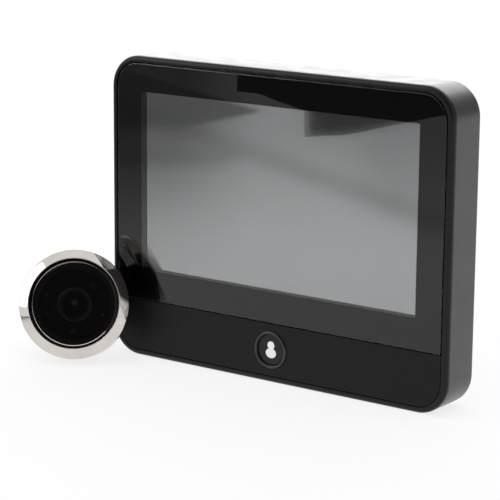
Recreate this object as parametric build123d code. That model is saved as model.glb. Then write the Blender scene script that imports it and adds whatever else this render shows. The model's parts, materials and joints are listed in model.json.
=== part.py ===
from build123d import *
import os
from math import atan2, cos, degrees, pi, radians, sin, sqrt

# Peephole door camera: an indoor monitor that hangs on a door plate, and an outdoor camera head.
# Both stand on a table. Millimetres, +Z up, the monitor's screen faces -Y.
# Origin: centre of the monitor's bottom face, on the table.

# Monitor body
side_border = 10.7
top_border = 9.72
rear_space = 7.05
corner_radius = 9.4
front_edge_radius = 1.25
back_edge_radius = 1.8
seam_depth = 1.5
seam_chamfer = 0.2
shell_wall = 1.8
skirt_gap = 0.1
skirt_wall = 1.2
skirt_length = 2.4
overrun = 1.0
edge_reach = 0.05

# Cover glass and the strip below it
lip_width = 1.73
insert_gap = 0.25
insert_recess = 0.1
split_height = 15.5
split_gap = 0.12
glass_thickness = 0.8
ink_thickness = 0.05
ink_inset = 0.15
tape_thickness = 0.2
tape_inset = 1.2
ledge_thickness = 1.0

# Display, a 4.3-inch panel
screen_width = 95.04
screen_height = 53.86
screen_film = 0.1
window_margin = 0.13
window_bottom = 26.66
ledge_margin = 1.9
gasket_margin = 0.9
gasket_thickness = 0.9
panel_side_margin = 5.23
panel_top_margin = 4.2
panel_bottom_margin = 9.14
panel_thickness = 1.2
backlight_thickness = 1.8
tray_wall = 0.3
flex_width = 16.0
flex_thickness = 0.2
flex_x = 27.0
flex_loop = 3.0
flex_setback = 0.5
connector_height = 3.6
connector_thickness = 0.7
connector_margin = 1.5

# View button in the middle of the strip
ring_radius = 5.5
ring_wall = 0.85
ring_proud = 0.35
ring_chamfer = 0.2
ring_hole_gap = 0.06
button_gap = 0.12
button_recess = 0.35
button_edge = 0.15
button_travel = 0.5
button_flange = 0.65
button_flange_thickness = 0.7
button_seat_gap = 0.1
icon_thickness = 0.06
icon_head_radius = 1.2
icon_body_width = 3.6
icon_body_height = 2.9
icon_overlap = 0.35
plunger_radius = 1.7
plunger_stem_radius = 1.2
plunger_stem_length = 0.4
plunger_length = 1.3
plunger_clearance = 0.05
plunger_reserve = 0.2
tact_side = 6.0
tact_gap = 0.7

# Main board
board_gap = 0.85
board_thickness = 1.2
board_side_gap = 3.55
board_bottom = 14.0
board_row_height = 17.0
board_tongue_width = 24.0
board_tongue_drop = 11.0
board_column_width = 22.0
board_column_height = 31.0
board_socket_width = 24.0
board_socket_height = 7.0
can_width = 20.0
can_height = 12.0
can_thickness = 2.2
can_wall = 0.3
can_x = 22.0
can_z = 22.5
board_screw_radius = 0.95
board_screw_head_radius = 1.8
board_screw_head_thickness = 0.7
board_screw_length = 3.6
board_boss_radius = 2.1
screw_clearance = 0.05
board_screw_inset_x = 6.5
board_screw_inset_z = 3.6
board_screw_inner_x = 17.0

# Sockets and switch on the left side
usb_width = 8.94
usb_thickness = 3.26
usb_length = 7.4
usb_wall = 0.35
usb_tongue_thickness = 0.7
usb_tongue_width = 6.7
usb_tongue_setback = 0.8
usb_base = 1.0
usb_z = 20.0
usb_setback = 0.3
port_gap = 0.25
port_corner = 0.2
card_length = 15.0
card_width = 11.0
card_thickness = 1.0
card_corner = 0.8
card_proud = 0.5
card_z = 33.5
card_clearance = 0.06
card_shell_wall = 0.25
card_shell_rail = 0.9
card_shell_back = 1.2
card_shell_setback = 0.4
switch_z = 48.0
switch_length = 8.0
switch_width = 3.4
switch_thickness = 3.2
switch_setback = 0.5
knob_length = 2.6
knob_thickness = 1.5
knob_proud = 0.6
knob_travel = 2.0
knob_clearance = 0.15
knob_depth = 1.5
knob_ridge = 0.25

# Lead socket, speaker, microphone, battery and antenna
lead_socket_width = 14.0
lead_socket_height = 5.0
lead_socket_thickness = 2.8
lead_socket_z = 33.6
lead_socket_slot = 1.2
lead_socket_slot_depth = 1.6
lead_window_gap = 0.6
speaker_thickness = 4.0
speaker_rim = 1.0
speaker_cone_depth = 0.8
speaker_ring_thickness = 0.4
speaker_side_gap = 5.55
speaker_inner_gap = 4.2
speaker_top_gap = 7.2
grille_hole_radius = 0.65
grille_pitch = 2.4
grille_inset = 2.5
microphone_radius = 2.0
microphone_length = 1.8
microphone_x = 36.0
microphone_port_radius = 0.5
battery_inner_gap = 0.95
battery_front_gap = 0.2
battery_top_gap = 7.2
battery_bottom_gap = 2.5
battery_edge = 1.0
battery_tape = 0.3
battery_inset = 1.3
antenna_length = 30.0
antenna_width = 5.0
antenna_thickness = 0.2
antenna_z = 55.0

# Case screws
case_boss_radius = 1.75
case_boss_back = 11.0
case_screw_radius = 0.85
case_screw_head_radius = 1.6
case_screw_head_thickness = 0.9
case_screw_length = 7.5
case_screw_sink = 0.25
case_low_inset = 7.05
case_low_z = 8.2
case_high_x = 36.0
case_high_inset = 3.9

# Door plate and its pocket in the monitor's back
plate_width = 56.0
plate_top_gap = 12.5
plate_thickness = 1.2
plate_radius = 3.0
plate_bottom = 30.0
plate_gap = 0.3
plate_sink = 0.1
pocket_side_gap = 0.5
pocket_wall = 1.3
plate_travel = 4.6
tab_width = 6.0
tab_lip = 4.0
tab_inset = 5.5
tab_low_rise = 11.0
tab_high_drop = 15.0
tab_side_gap = 0.3
tab_seat_gap = 0.1
plate_screw_radius = 2.0
plate_screw_inset_x = 8.0
plate_screw_inset_z = 4.0
lead_notch_width = 16.0
plate_bore_gap = 0.3
well_side_gap = 1.2
well_depth = 3.4
well_wall = 1.2

# Camera head, sizes along its own axis from the rim of its bezel
head_side = 2.01
head_ahead = 15.435
head_turn = 35.3
rim_radius = 16.4
rim_thickness = 0.5
bezel_height = 3.5
bezel_opening_radius = 13.3
bezel_edge = 0.22
bezel_lip = 1.9
disc_gap = 0.55
disc_recess = 1.2
disc_flange = 0.85
disc_flange_thickness = 0.75
disc_seat_gap = 0.25
disc_chamfer = 0.25
disc_travel = 0.45
mark_thickness = 0.03
mark_radius = 0.85
mark_drop = 8.1
housing_radius = 12.9
housing_spigot_gap = 0.1
housing_spigot = 0.5
housing_band = 3.4
housing_wall = 0.8
housing_floor = 1.2
housing_rebate = 1.5
housing_rebate_depth = 1.3
washer_rubber_radius = 15.86
washer_rubber_thickness = 2.1
washer_rubber_bore_gap = 0.05
barrel_radius = 7.0
module_wall = 2.1
module_gap = 0.3
lead_wall = 2.8
barrel_length = 24.3
barrel_collar = 1.6
barrel_collar_thickness = 0.7
barrel_fit = 0.05
steel_washer_width = 3.0
steel_washer_thickness = 0.8
stack_gap = 0.1
nut_width = 2.8
nut_thickness = 3.5
nut_notch_radius = 1.3
nut_notches = 12
nut_clearance = 0.06

# Camera module inside the head
head_board_hole = 5.6
head_board_thickness = 0.9
head_board_gap = 0.1
lens_bezel_front_radius = 5.1
lens_bezel_gap = 0.15
lens_bezel_wall = 0.4
lens_bezel_height = 3.2
lens_bezel_front_gap = 0.25
lens_gap = 1.3
lens_length = 9.0
lens_setback = 0.4
lens_front_wall = 0.7
lens_front_height = 0.9
lens_front_edge = 0.5
lens_rim = 0.35
sensor_inset = 0.1
sensor_thickness = 1.0
sensor_board_gap = 0.1
sensor_board_thickness = 0.6
light_sensor_radius = 1.0
light_sensor_height = 1.9
light_sensor_x = 5.5
light_sensor_y = 5.7
led_radius = 1.25
led_height = 1.6
led_ring_radius = 8.9
led_half_angle = 18.0
bell_switch_radius = 1.6
bell_switch_height = 1.3
bell_button_radius = 0.8
bell_button_gap = 0.1
bell_switch_drop = 8.7

# Depths behind the monitor's front plane, worked out from the stack of pieces
glass_front = insert_recess
ink_front = glass_front + glass_thickness
tape_front = ink_front + ink_thickness
ledge_front = tape_front + tape_thickness
ledge_back = ledge_front + ledge_thickness
screen_front = ledge_back + gasket_thickness
panel_front = screen_front + screen_film
backlight_front = panel_front + panel_thickness
backlight_back = backlight_front + backlight_thickness
board_front = backlight_back + board_gap
board_back = board_front + board_thickness
body_depth = board_back + rear_space
front_y = -body_depth / 2
inner_back = body_depth - shell_wall
plate_back = body_depth - plate_sink
plate_front = plate_back - plate_thickness
pocket_floor = plate_front - plate_gap
pocket_inner = pocket_floor - pocket_wall
lip_back = pocket_inner - plate_gap
lip_front = lip_back - plate_thickness
well_floor = pocket_floor - well_depth

# Outlines of the monitor
window_width = screen_width + 2 * window_margin
window_height = screen_height + 2 * window_margin
window_z = window_bottom + window_height / 2
body_width = window_width + 2 * side_border
body_height = window_bottom + window_height + top_border
insert_width = body_width - 2 * (lip_width + insert_gap)
insert_height = body_height - 2 * (lip_width + insert_gap)
insert_radius = corner_radius - lip_width - insert_gap
insert_bottom = lip_width + insert_gap
split_z = insert_bottom + split_height
middle_z = body_height / 2
button_z = insert_bottom + split_height / 2
panel_width = screen_width + 2 * panel_side_margin
panel_height = panel_bottom_margin + screen_height + panel_top_margin
panel_z = window_bottom + window_margin - panel_bottom_margin + panel_height / 2
inner_width = body_width - 2 * shell_wall
inner_height = body_height - 2 * shell_wall
inner_radius = corner_radius - shell_wall
inner_top = body_height - shell_wall
board_width = inner_width - 2 * board_side_gap
skirt_width = inner_width - 2 * skirt_gap
skirt_height = inner_height - 2 * skirt_gap
skirt_radius = inner_radius - skirt_gap
left_x = -body_width / 2
plate_height = body_height - plate_top_gap - plate_bottom
plate_z = plate_bottom + plate_height / 2
plate_bore = barrel_radius + plate_bore_gap
pocket_width = plate_width + 2 * pocket_side_gap
pocket_height = plate_height + plate_travel + 2 * pocket_side_gap
pocket_z = plate_z - plate_travel / 2
pocket_side = pocket_width / 2 + pocket_wall
nut_radius = barrel_radius + nut_width
well_radius = nut_radius + well_side_gap
button_radius = ring_radius - ring_wall - button_gap
ring_bore = ring_radius - ring_wall
battery_width = inner_width / 2 - battery_inset - pocket_side - battery_inner_gap
battery_x = pocket_side + battery_inner_gap + battery_width / 2
battery_bottom = board_bottom + board_row_height + battery_bottom_gap
battery_height = inner_top - battery_top_gap - battery_bottom
battery_z = battery_bottom + battery_height / 2
battery_front = backlight_back + battery_front_gap
speaker_radius = (inner_width / 2 - pocket_side - speaker_side_gap - speaker_inner_gap) / 2
speaker_x = speaker_radius + speaker_side_gap - inner_width / 2
grille_reach = speaker_radius - grille_inset
speaker_z = inner_top - speaker_top_gap - speaker_radius

# Stations along the head's axis, positive towards its front
disc_front = bezel_height - disc_recess
bezel_shoulder = bezel_height - bezel_lip
disc_shoulder = bezel_shoulder - disc_seat_gap
disc_back = disc_shoulder - disc_flange_thickness
housing_front = -rim_thickness + housing_spigot
band_back = -rim_thickness - housing_band
rebate_back = band_back - housing_rebate_depth
rubber_back = band_back - washer_rubber_thickness
housing_inside = rebate_back + housing_floor
barrel_back = rubber_back - barrel_length
collar_front = housing_inside + barrel_collar_thickness
board_rear = collar_front + head_board_gap
board_top = board_rear + head_board_thickness
module_bore = barrel_radius - module_wall
lead_bore = barrel_radius - lead_wall
barrel_collar_radius = barrel_radius + barrel_collar
steel_washer_radius = barrel_radius + steel_washer_width
lens_radius = module_bore - lens_gap
lens_front_radius = lens_radius - lens_front_wall
lens_bezel_back_radius = lens_radius + lens_bezel_gap
sensor_board_side = sqrt(2) * (module_bore - sensor_board_gap)
sensor_side = sensor_board_side - 2 * sensor_inset
disc_radius = bezel_opening_radius - disc_gap
disc_flange_radius = disc_radius + disc_flange
bezel_bore = disc_flange_radius + disc_gap / 2
rebate_radius = housing_radius - housing_rebate
housing_bore = rebate_radius - housing_wall
head_board_radius = housing_bore - head_board_gap
lens_top = disc_back - disc_travel - lens_bezel_front_gap
lens_front = lens_top - lens_setback

# The head lies on the rear edge of its rubber washer and on the end of its barrel
head_x = left_x - head_side
head_y = front_y - head_ahead
head_tilt = degrees(atan2(washer_rubber_radius - barrel_radius, rubber_back - barrel_back))
head_z = washer_rubber_radius * cos(radians(head_tilt)) - rubber_back * sin(radians(head_tilt))
head_axis = (
    sin(radians(head_turn)) * cos(radians(head_tilt)),
    -cos(radians(head_turn)) * cos(radians(head_tilt)),
    sin(radians(head_tilt)),
)
head_right = (cos(radians(head_turn)), sin(radians(head_turn)), 0)
head_plane = Plane(origin=(head_x, head_y, head_z), x_dir=head_right, z_dir=head_axis)


# Helpers
def face_plane(depth, x, z):
    """Plane parallel to the screen, at a depth behind the monitor's front."""
    return Plane(origin=(x, front_y + depth, z), x_dir=(1, 0, 0), z_dir=(0, -1, 0))


def slab(width, height, front, back, x, z, radius=0):
    """Flat plate between two depths, with rounded corners if a radius is given."""
    outline = RectangleRounded(width, height, radius) if radius else Rectangle(width, height)
    return extrude(face_plane(front, x, z) * outline, amount=front - back)


def rod(radius, front, back, x, z):
    """Round piece between two depths."""
    return extrude(face_plane(front, x, z) * Circle(radius), amount=front - back)


def tube(outer, inner, front, back, x, z):
    """Round piece with a round hole through it."""
    return rod(outer, front, back, x, z) - rod(inner, front - overrun, back + overrun, x, z)


def block(x_low, x_high, z_low, z_high, front, back):
    """Plate given by its edges instead of its centre."""
    middle_x = (x_low + x_high) / 2
    middle = (z_low + z_high) / 2
    return slab(x_high - x_low, z_high - z_low, front, back, middle_x, middle)


def turned(points):
    """Ring turned about the head's axis from a section of (radius, station) points."""
    section = make_face(Plane.XZ * Polyline(*points, close=True))
    return revolve(section, axis=Axis.Z)


def disc(radius, low, high, x=0, y=0):
    """Round piece along the head's axis."""
    return extrude(Plane(origin=(x, y, low)) * Circle(radius), amount=high - low)


def on_head(shape):
    """Moves a piece from the head's own frame to where the head lies."""
    return head_plane.location * shape


def edges_at(shape, depth):
    """Edges of a monitor piece that lie in one plane of equal depth."""
    y = front_y + depth
    return shape.edges().filter_by_position(Axis.Y, y - edge_reach, y + edge_reach)


# Monitor casing
def front_frame():
    rim = slab(body_width, body_height, 0, seam_depth, 0, middle_z, corner_radius)
    rim = fillet(edges_at(rim, 0), front_edge_radius)
    opening_width = insert_width + 2 * insert_gap
    opening_height = insert_height + 2 * insert_gap
    opening_radius = insert_radius + insert_gap
    rim -= slab(opening_width, opening_height, -overrun, ledge_front, 0, middle_z, opening_radius)
    skirt_back = ledge_back + skirt_length
    skirt = slab(skirt_width, skirt_height, ledge_front, skirt_back, 0, middle_z, skirt_radius)
    skirt -= slab(
        skirt_width - 2 * skirt_wall,
        skirt_height - 2 * skirt_wall,
        ledge_back,
        skirt_back + overrun,
        0,
        middle_z,
        skirt_radius - skirt_wall,
    )
    frame = rim + skirt
    frame -= slab(
        window_width + 2 * ledge_margin,
        window_height + 2 * ledge_margin,
        0,
        ledge_back + overrun,
        0,
        window_z,
    )
    frame -= rod(button_radius + button_gap, 0, ledge_back + overrun, 0, button_z)
    for x, z in case_screw_places():
        frame += rod(case_boss_radius, ledge_front, case_boss_back, x, z)
        pilot = case_screw_radius + screw_clearance
        frame -= rod(pilot, ledge_back + overrun, case_boss_back + overrun, x, z)
    return frame


def case_screw_places():
    low_x = inner_width / 2 - case_low_inset
    high_z = body_height - case_high_inset
    return [
        (-low_x, case_low_z),
        (low_x, case_low_z),
        (-case_high_x, high_z),
        (case_high_x, high_z),
    ]


def board_screw_places():
    right = board_width / 2 - board_screw_inset_x
    low = board_bottom + board_screw_inset_z
    high = board_bottom + board_row_height - board_screw_inset_z
    return [(-right + board_screw_inner_x, low), (right, low), (right, high), (-board_screw_inner_x, high)]


def tab_places():
    side = plate_width / 2 - tab_inset
    low = plate_bottom + tab_low_rise
    high = plate_bottom + plate_height - tab_high_drop
    return [(-side, low), (side, low), (-side, high), (side, high)]


def rear_shell():
    shell = slab(body_width, body_height, seam_depth, body_depth, 0, middle_z, corner_radius)
    shell = fillet(edges_at(shell, body_depth), back_edge_radius)
    shell = chamfer(edges_at(shell, seam_depth), seam_chamfer)
    shell -= slab(inner_width, inner_height, seam_depth - overrun, inner_back, 0, middle_z, inner_radius)
    shell += plate_pocket()
    shell -= slab(
        pocket_width,
        pocket_height,
        pocket_floor,
        body_depth + overrun,
        0,
        pocket_z,
        plate_radius + pocket_side_gap,
    )
    shell -= rod(well_radius, well_floor, body_depth + overrun, 0, plate_z)
    shell -= lead_window()
    for x, z in tab_places():
        top = z + plate_thickness / 2 + tab_seat_gap
        bottom = z - plate_thickness / 2 - plate_travel - plate_gap
        half = tab_width / 2 + tab_side_gap
        shell -= block(x - half, x + half, bottom, top, pocket_inner - overrun, pocket_floor + overrun)
    for x, z in case_screw_places():
        shell += rod(case_boss_radius, case_boss_back, inner_back, x, z)
        hole = case_screw_radius + screw_clearance
        shell -= rod(hole, case_boss_back - overrun, body_depth + overrun, x, z)
        head_seat = body_depth - case_screw_sink - case_screw_head_thickness
        shell -= rod(case_screw_head_radius + screw_clearance, head_seat, body_depth + overrun, x, z)
    for x, z in board_screw_places():
        shell += rod(board_boss_radius, board_back, inner_back, x, z)
        hole_back = board_back + board_screw_length
        shell -= rod(board_screw_radius + screw_clearance, board_back - overrun, hole_back, x, z)
    for x, z in grille_places():
        shell -= rod(grille_hole_radius, inner_back - overrun, body_depth + overrun, x, z)
    return shell - side_openings()


def plate_pocket():
    """Floor and walls of the pocket for the door plate, with the round well for the nut."""
    walls = slab(
        pocket_width + 2 * pocket_wall,
        pocket_height + 2 * pocket_wall,
        pocket_inner,
        inner_back + overrun,
        0,
        pocket_z,
        plate_radius + pocket_side_gap + pocket_wall,
    )
    well = rod(well_radius + well_wall, well_floor - well_wall, inner_back, 0, plate_z)
    return walls + well


def lead_window():
    """Window in the pocket floor where the head's lead plugs in."""
    width = lead_socket_width + 2 * lead_window_gap
    height = lead_socket_height + 2 * lead_window_gap
    return slab(width, height, board_back, pocket_floor + overrun, 0, lead_socket_z)


def side_openings():
    """Openings in the left wall and the sound hole in the bottom wall."""
    usb_depth = board_back + usb_thickness / 2
    port = wall_hole(SlotOverall(usb_width + 2 * port_gap, usb_thickness + 2 * port_gap), usb_depth, usb_z)
    card_outline = RectangleRounded(card_width + 2 * port_gap, card_thickness + 2 * port_gap, port_corner)
    card_hole = wall_hole(card_outline, card_front() + card_thickness / 2, card_z)
    knob_swept = knob_length + knob_travel + 2 * knob_clearance
    knob_outline = RectangleRounded(knob_swept, knob_thickness + 2 * knob_clearance, port_corner)
    knob_hole = wall_hole(knob_outline, switch_depth(), switch_z)
    sound = Plane(origin=(microphone_x, front_y + board_front, -overrun)) * Circle(microphone_port_radius)
    return port + card_hole + knob_hole + extrude(sound, amount=shell_wall + 2 * overrun)


def side_plane(x, depth, z):
    """Plane parallel to the left wall, its first axis upwards."""
    return Plane(origin=(x, front_y + depth, z), x_dir=(0, 0, 1), z_dir=(1, 0, 0))


def wall_hole(outline, depth, z):
    """Hole of a given outline through the left wall."""
    return extrude(side_plane(left_x - overrun, depth, z) * outline, amount=shell_wall + 2 * overrun)


def grille_places():
    """Sound holes over the speaker on a square pitch, kept inside a circle."""
    steps = int(grille_reach / grille_pitch)
    places = []
    for row in range(-steps, steps + 1):
        for column in range(-steps, steps + 1):
            if sqrt(row * row + column * column) * grille_pitch <= grille_reach:
                places.append((speaker_x + column * grille_pitch, speaker_z + row * grille_pitch))
    return places


def case_screws():
    head_back = body_depth - case_screw_sink
    head_front = head_back - case_screw_head_thickness
    recess_floor = head_back - case_screw_head_thickness / 2
    pieces = []
    for x, z in case_screw_places():
        screw = rod(case_screw_head_radius, head_front, head_back, x, z)
        screw += rod(case_screw_radius, head_front - case_screw_length, head_front, x, z)
        screw -= rod(case_screw_radius / 2, recess_floor, head_back + overrun, x, z)
        pieces.append(screw)
    return Compound(children=pieces)


# Glass, strip and display
def insert_piece(front, back, low, high, inset):
    """Piece of the flush front insert between two heights."""
    whole = slab(
        insert_width - 2 * inset,
        insert_height - 2 * inset,
        front,
        back,
        0,
        middle_z,
        insert_radius - inset,
    )
    return whole & block(-body_width, body_width, low, high, front - overrun, back + overrun)


def window_cut(margin, front, back):
    """Block that cuts the window, with a margin all round."""
    width = window_width + 2 * margin
    height = window_height + 2 * margin
    return slab(width, height, front - overrun, back + overrun, 0, window_z)


def cover_glass():
    return insert_piece(glass_front, ink_front, split_z + split_gap / 2, body_height, 0)


def glass_ink():
    ink = insert_piece(ink_front, tape_front, split_z + split_gap / 2 + ink_inset, body_height, ink_inset)
    return ink - window_cut(0, ink_front, tape_front)


def glass_tape():
    tape = insert_piece(tape_front, ledge_front, split_z + tape_inset, body_height, tape_inset)
    return tape - window_cut(ledge_margin, tape_front, ledge_front)


def lower_panel():
    panel = insert_piece(glass_front, ledge_front, 0, split_z - split_gap / 2, 0)
    return panel - rod(ring_radius + ring_hole_gap, -overrun, ledge_front + overrun, 0, button_z)


def screen_gasket():
    frame = window_cut(ledge_margin + gasket_margin, ledge_back + overrun, screen_front - overrun)
    return frame - window_cut(gasket_margin, ledge_back, screen_front)


def screen():
    return slab(screen_width, screen_height, screen_front, panel_front, 0, window_z)


def lcd_panel():
    return slab(panel_width, panel_height, panel_front, backlight_front, 0, panel_z)


def backlight():
    tray = slab(panel_width, panel_height, backlight_front, backlight_back, 0, panel_z)
    return tray - tray_space(backlight_front - overrun)


def light_guide():
    return tray_space(backlight_front)


def tray_space(front):
    """Space inside the backlight's tray, from a given depth to its floor."""
    width = panel_width - 2 * tray_wall
    height = panel_height - 2 * tray_wall
    return slab(width, height, front, backlight_back - tray_wall, 0, panel_z)


def display_flex():
    """Flat lead: down from the panel, back past the display's edge, and up into its connector."""
    half = flex_thickness / 2
    left = flex_x - flex_width / 2
    right = flex_x + flex_width / 2
    near = panel_front + flex_setback
    far = board_front - connector_thickness / 2
    top = panel_z - panel_height / 2
    plug = board_bottom + connector_margin
    turn = plug - flex_loop
    strip = block(left, right, turn - half, top, near - half, near + half)
    strip += block(left, right, turn - half, turn + half, near - half, far + half)
    return strip + block(left, right, turn - half, plug, far - half, far + half)


def display_connector():
    low = board_bottom + connector_margin
    high = low + connector_height
    half = flex_width / 2 + connector_margin
    front = board_front - connector_thickness
    return block(flex_x - half, flex_x + half, low, high, front, board_front)


# View button
def button_ring():
    ring = tube(ring_radius, ring_bore, -ring_proud, ledge_front, 0, button_z)
    return chamfer(edges_at(ring, -ring_proud), ring_chamfer)


def view_button():
    flange_front = ledge_back + button_seat_gap
    flange_back = flange_front + button_flange_thickness
    cap = rod(button_radius, button_recess, flange_front, 0, button_z)
    cap = fillet(edges_at(cap, button_recess), button_edge)
    cap += rod(button_radius + button_flange, flange_front, flange_back, 0, button_z)
    return cap + rod(plunger_stem_radius, flange_back, flange_back + plunger_stem_length, 0, button_z)


def button_icon():
    """Generic sign of a person: a round head on an oval body."""
    front = button_recess - icon_thickness
    height = 2 * icon_head_radius + icon_body_height - icon_overlap
    head_middle = button_z + height / 2 - icon_head_radius
    body_middle = button_z - height / 2 + icon_body_height / 2
    head = rod(icon_head_radius, front, button_recess, 0, head_middle)
    oval = Ellipse(icon_body_width / 2, icon_body_height / 2)
    return head + extrude(face_plane(front, 0, body_middle) * oval, amount=front - button_recess)


def plunger_front():
    return ledge_back + button_seat_gap + button_flange_thickness + plunger_stem_length


def switch_plunger():
    return rod(plunger_radius, plunger_front(), plunger_front() + plunger_length, 0, button_z)


def button_switch():
    base = slab(tact_side, tact_side, plunger_front() + tact_gap, board_front, 0, button_z)
    bore_back = plunger_front() + plunger_length + button_travel + plunger_reserve
    return base - rod(plunger_radius + plunger_clearance, 0, bore_back, 0, button_z)


# Main board and what stands on it
def main_board():
    half = board_width / 2
    row_top = board_bottom + board_row_height
    board = block(-half, half, board_bottom, row_top, board_front, board_back)
    tongue = board_tongue_width / 2
    board += block(-tongue, tongue, board_bottom - board_tongue_drop, board_bottom, board_front, board_back)
    column_right = -half + board_column_width
    board += block(-half, column_right, row_top, row_top + board_column_height, board_front, board_back)
    socket = board_socket_width / 2
    board += block(-socket, socket, row_top, row_top + board_socket_height, board_front, board_back)
    for x, z in board_screw_places():
        hole = board_screw_radius + screw_clearance
        board -= rod(hole, board_front - overrun, board_back + overrun, x, z)
    return board


def board_screws():
    pieces = []
    for x, z in board_screw_places():
        screw = rod(board_screw_head_radius, board_front - board_screw_head_thickness, board_front, x, z)
        screw += rod(board_screw_radius, board_front, board_front + board_screw_length, x, z)
        pieces.append(screw)
    return Compound(children=pieces)


def shield_can():
    can = slab(can_width, can_height, board_back, board_back + can_thickness, can_x, can_z)
    inside_width = can_width - 2 * can_wall
    inside_height = can_height - 2 * can_wall
    inside_back = board_back + can_thickness - can_wall
    return can - slab(inside_width, inside_height, board_back - overrun, inside_back, can_x, can_z)


def processor():
    side = can_height / 2
    return slab(side, side, board_back, board_back + can_thickness / 2, can_x, can_z)


def usb_socket():
    """Rounded metal shell with its tongue, open at the left wall."""
    space_length = usb_length - usb_base
    shell = usb_slot(0, usb_length, usb_width, usb_thickness)
    shell -= usb_slot(-overrun, space_length, usb_width - 2 * usb_wall, usb_thickness - 2 * usb_wall)
    tongue = usb_plane(usb_tongue_setback) * Rectangle(usb_tongue_width, usb_tongue_thickness)
    return shell + extrude(tongue, amount=space_length - usb_tongue_setback)


def usb_plane(offset):
    """Section of the socket, at an offset behind its mouth."""
    return side_plane(left_x + usb_setback + offset, board_back + usb_thickness / 2, usb_z)


def usb_slot(start, end, width, thickness):
    return extrude(usb_plane(start) * SlotOverall(width, thickness), amount=end - start)


def card_front():
    return board_back + card_shell_wall + card_clearance


def memory_card():
    left = left_x - card_proud
    low = card_z - card_width / 2
    back = card_front() + card_thickness
    card = block(left, left + card_length, low, low + card_width, card_front(), back)
    return fillet(card.edges().filter_by(Axis.Y), card_corner)


def card_socket():
    """Flat housing with a cavity that takes the card with a small clearance."""
    left = left_x + shell_wall + card_shell_setback
    end = left_x - card_proud + card_length + card_clearance
    inner = card_width / 2 + card_clearance
    outer = inner + card_shell_rail
    cavity_front = card_front() - card_clearance
    cavity_back = card_front() + card_thickness + card_clearance
    back = cavity_back + card_shell_wall
    shell = block(left, end + card_shell_back, card_z - outer, card_z + outer, board_back, back)
    return shell - block(left - overrun, end, card_z - inner, card_z + inner, cavity_front, cavity_back)


def switch_depth():
    return board_back + switch_thickness / 2


def switch_left():
    return left_x + shell_wall + switch_setback


def switch_block(left, right, low, high, thickness):
    """Block of the switch or its knob, centred on the middle of its thickness."""
    front = switch_depth() - thickness / 2
    return block(left, right, low, high, front, front + thickness)


def power_switch():
    """Switch body with the slot in which the knob's foot slides."""
    left = switch_left()
    half = switch_length / 2
    reach = (knob_length + knob_travel) / 2 + knob_clearance
    slot_thickness = knob_thickness + 2 * knob_clearance
    body = switch_block(left, left + switch_width, switch_z - half, switch_z + half, switch_thickness)
    slot_end = left + knob_depth
    return body - switch_block(left - overrun, slot_end, switch_z - reach, switch_z + reach, slot_thickness)


def switch_knob():
    """Knob at the low end of its slot, with a thumb notch across its outer end."""
    left = left_x - knob_proud
    right = switch_left() + knob_depth - knob_clearance
    low = switch_z - (knob_travel + knob_length) / 2
    middle = low + knob_length / 2
    notch = knob_ridge / 2
    knob = switch_block(left, right, low, low + knob_length, knob_thickness)
    notch_end = left + knob_ridge
    return knob - switch_block(left - overrun, notch_end, middle - notch, middle + notch, knob_thickness)


def lead_socket():
    back = board_back + lead_socket_thickness
    floor = back - lead_socket_slot_depth
    width = lead_socket_width - 2 * lead_socket_slot
    socket = slab(lead_socket_width, lead_socket_height, board_back, back, 0, lead_socket_z)
    return socket - slab(width, lead_socket_slot, floor, back + overrun, 0, lead_socket_z)


def speaker():
    back = inner_back - speaker_ring_thickness
    case = rod(speaker_radius, back - speaker_thickness, back, speaker_x, speaker_z)
    mouth = speaker_radius - speaker_rim
    return case - rod(mouth, back - speaker_cone_depth, back + overrun, speaker_x, speaker_z)


def speaker_cone():
    """Flat cone with a low dome in its middle."""
    base = inner_back - speaker_ring_thickness - speaker_cone_depth
    half = speaker_cone_depth / 2
    cone = rod(speaker_radius - speaker_rim, base, base + half, speaker_x, speaker_z)
    return cone + rod(speaker_radius / 3, base + half, base + half * 3 / 2, speaker_x, speaker_z)


def speaker_gasket():
    back = inner_back
    front = inner_back - speaker_ring_thickness
    return tube(speaker_radius, speaker_radius - speaker_rim, front, back, speaker_x, speaker_z)


def microphone():
    start = Plane(origin=(microphone_x, front_y + board_front, shell_wall))
    return extrude(start * Circle(microphone_radius), amount=microphone_length)


def battery():
    back = inner_back - battery_tape
    cell = slab(battery_width, battery_height, battery_front, back, battery_x, battery_z)
    return fillet(cell.edges().filter_by(Axis.Z), battery_edge)


def battery_pad():
    width = battery_width - 4 * battery_edge
    height = battery_height - 4 * battery_edge
    return slab(width, height, inner_back - battery_tape, inner_back, battery_x, battery_z)


def wifi_antenna():
    right = inner_width / 2
    low = antenna_z - antenna_length / 2
    back = backlight_back + antenna_width
    return block(right - antenna_thickness, right, low, low + antenna_length, backlight_back, back)


# Door plate
def door_plate():
    plate = slab(plate_width, plate_height, plate_front, plate_back, 0, plate_z, plate_radius)
    front = plate_front - overrun
    back = plate_back + overrun
    notch = lead_notch_width / 2
    notch_top = lead_socket_z + lead_socket_height / 2 + lead_window_gap
    plate -= rod(plate_bore, front, back, 0, plate_z)
    plate -= block(-notch, notch, plate_bottom - overrun, notch_top, front, back)
    for x, z in tab_places():
        plate = plate - tab_window(x, z) + tab(x, z)
    for x_side in (-1, 1):
        for z_side in (-1, 1):
            x = x_side * (plate_width / 2 - plate_screw_inset_x)
            z = plate_z + z_side * (plate_height / 2 - plate_screw_inset_z)
            plate -= rod(plate_screw_radius, front, back, x, z)
    return plate


def tab_window(x, z):
    """Hole that the bent tab leaves in the plate above its root."""
    half = tab_width / 2
    low = z + plate_thickness / 2
    return block(x - half, x + half, low, low + tab_lip, plate_front - overrun, plate_back + overrun)


def tab(x, z):
    """Bent hook: a stem towards the monitor and a lip upwards behind its pocket floor."""
    half = tab_width / 2
    low = z - plate_thickness / 2
    high = z + plate_thickness / 2
    stem = block(x - half, x + half, low, high, lip_front, plate_front)
    return stem + block(x - half, x + half, low, high + tab_lip, lip_front, lip_back)


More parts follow.
